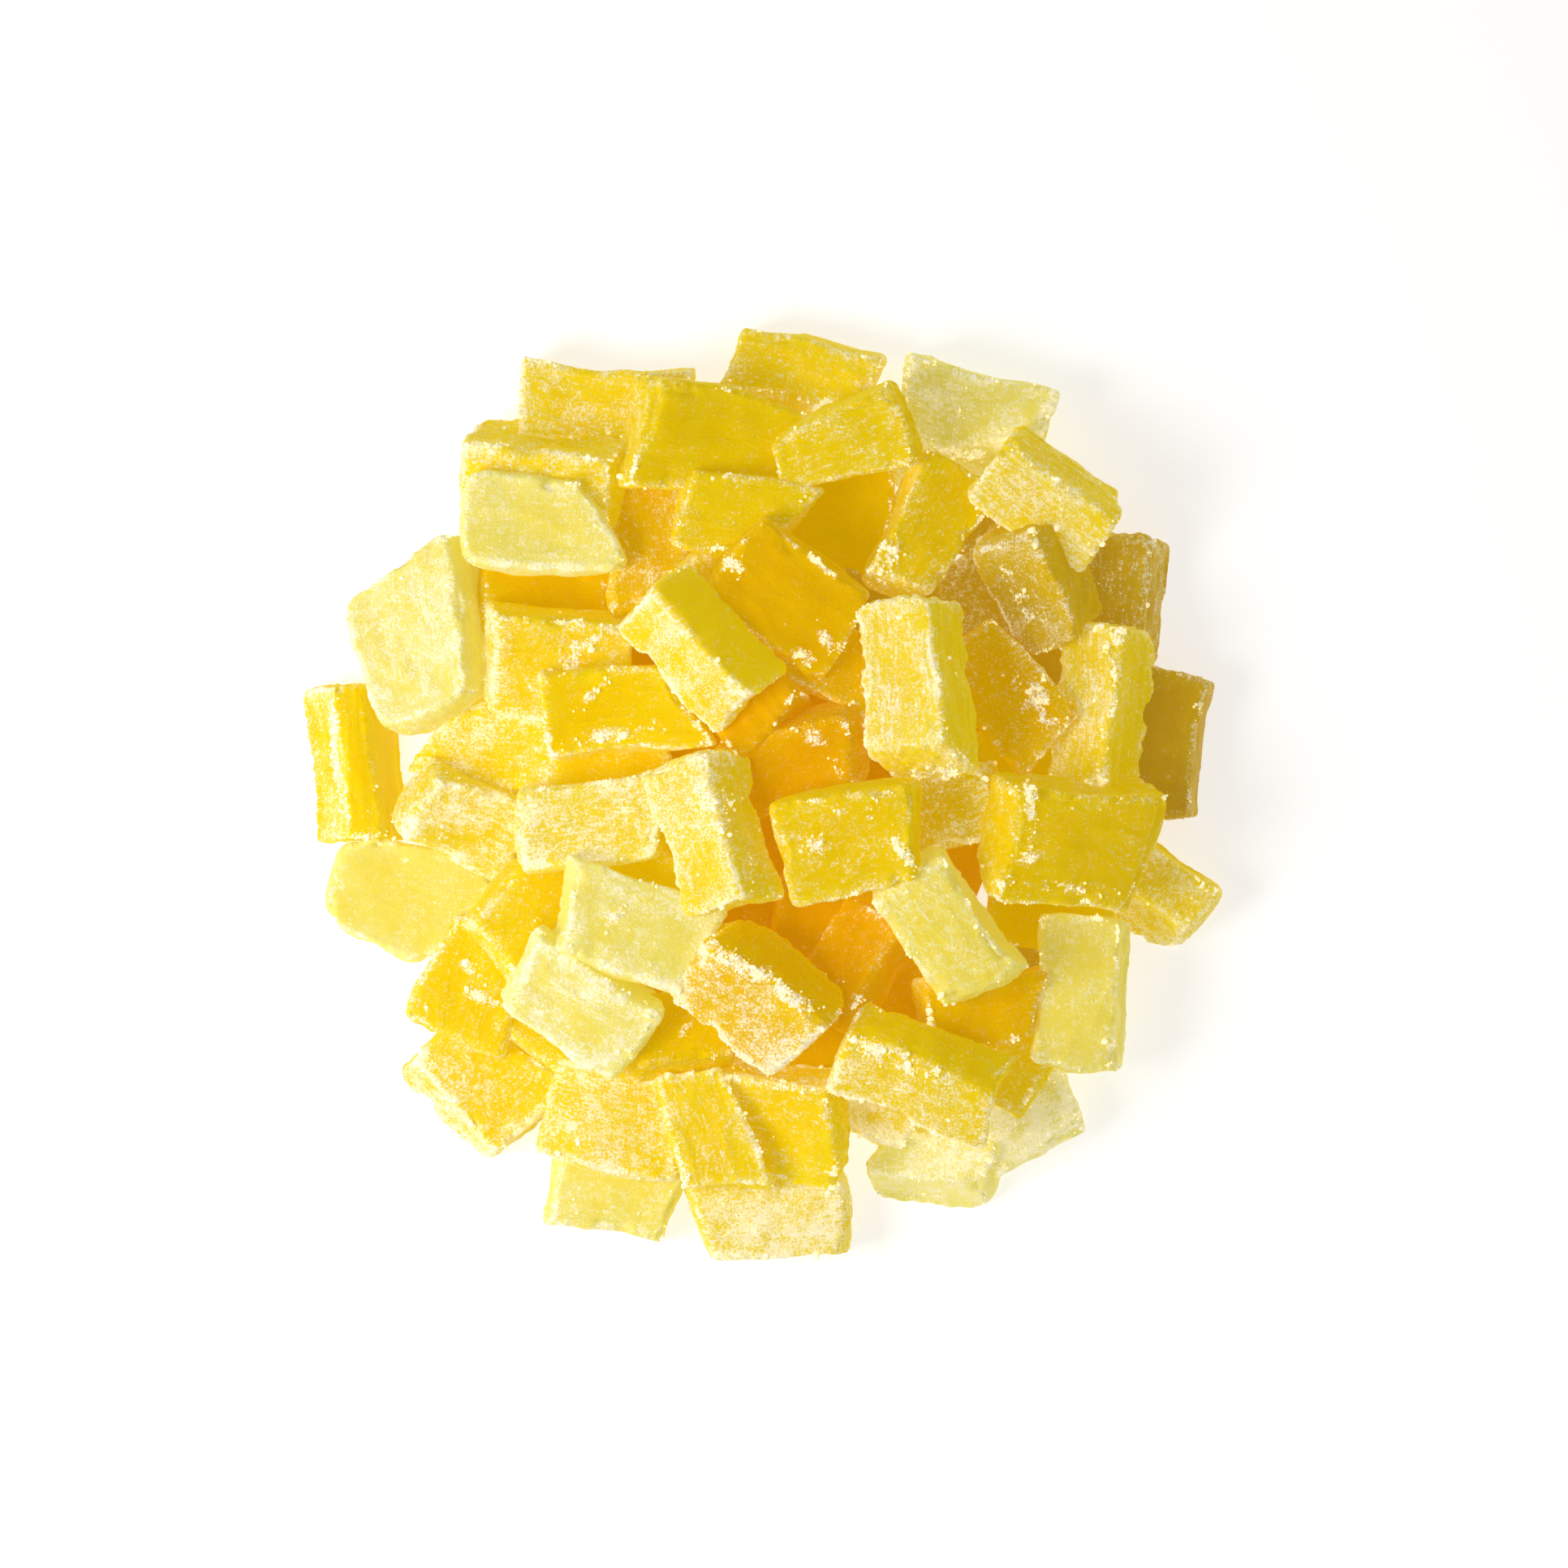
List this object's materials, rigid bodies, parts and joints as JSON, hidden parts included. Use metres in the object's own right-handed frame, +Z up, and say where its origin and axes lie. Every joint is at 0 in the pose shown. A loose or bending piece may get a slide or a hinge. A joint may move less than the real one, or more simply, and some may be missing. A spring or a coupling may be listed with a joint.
{
  "type": "diced dried pineapple heap",
  "caption": "Loose round heap of diced dried pineapple, blunt blocks of fruit piled on a flat surface, lowest at the rim and highest in the middle",
  "frame": {"origin": "Middle of the heap's outline, on the surface that it lies on", "axes": "+Z up; +X to the right and +Y to the top of the view from straight above"},
  "size_m": [0.1032, 0.1046, 0.0247],
  "materials": {
    "dried_pineapple": "soft translucent fruit with a dusting of sugar"
  },
  "bodies": {
    "root": {"pineapple_heap": "dried_pineapple"}
  },
  "joints": []
}
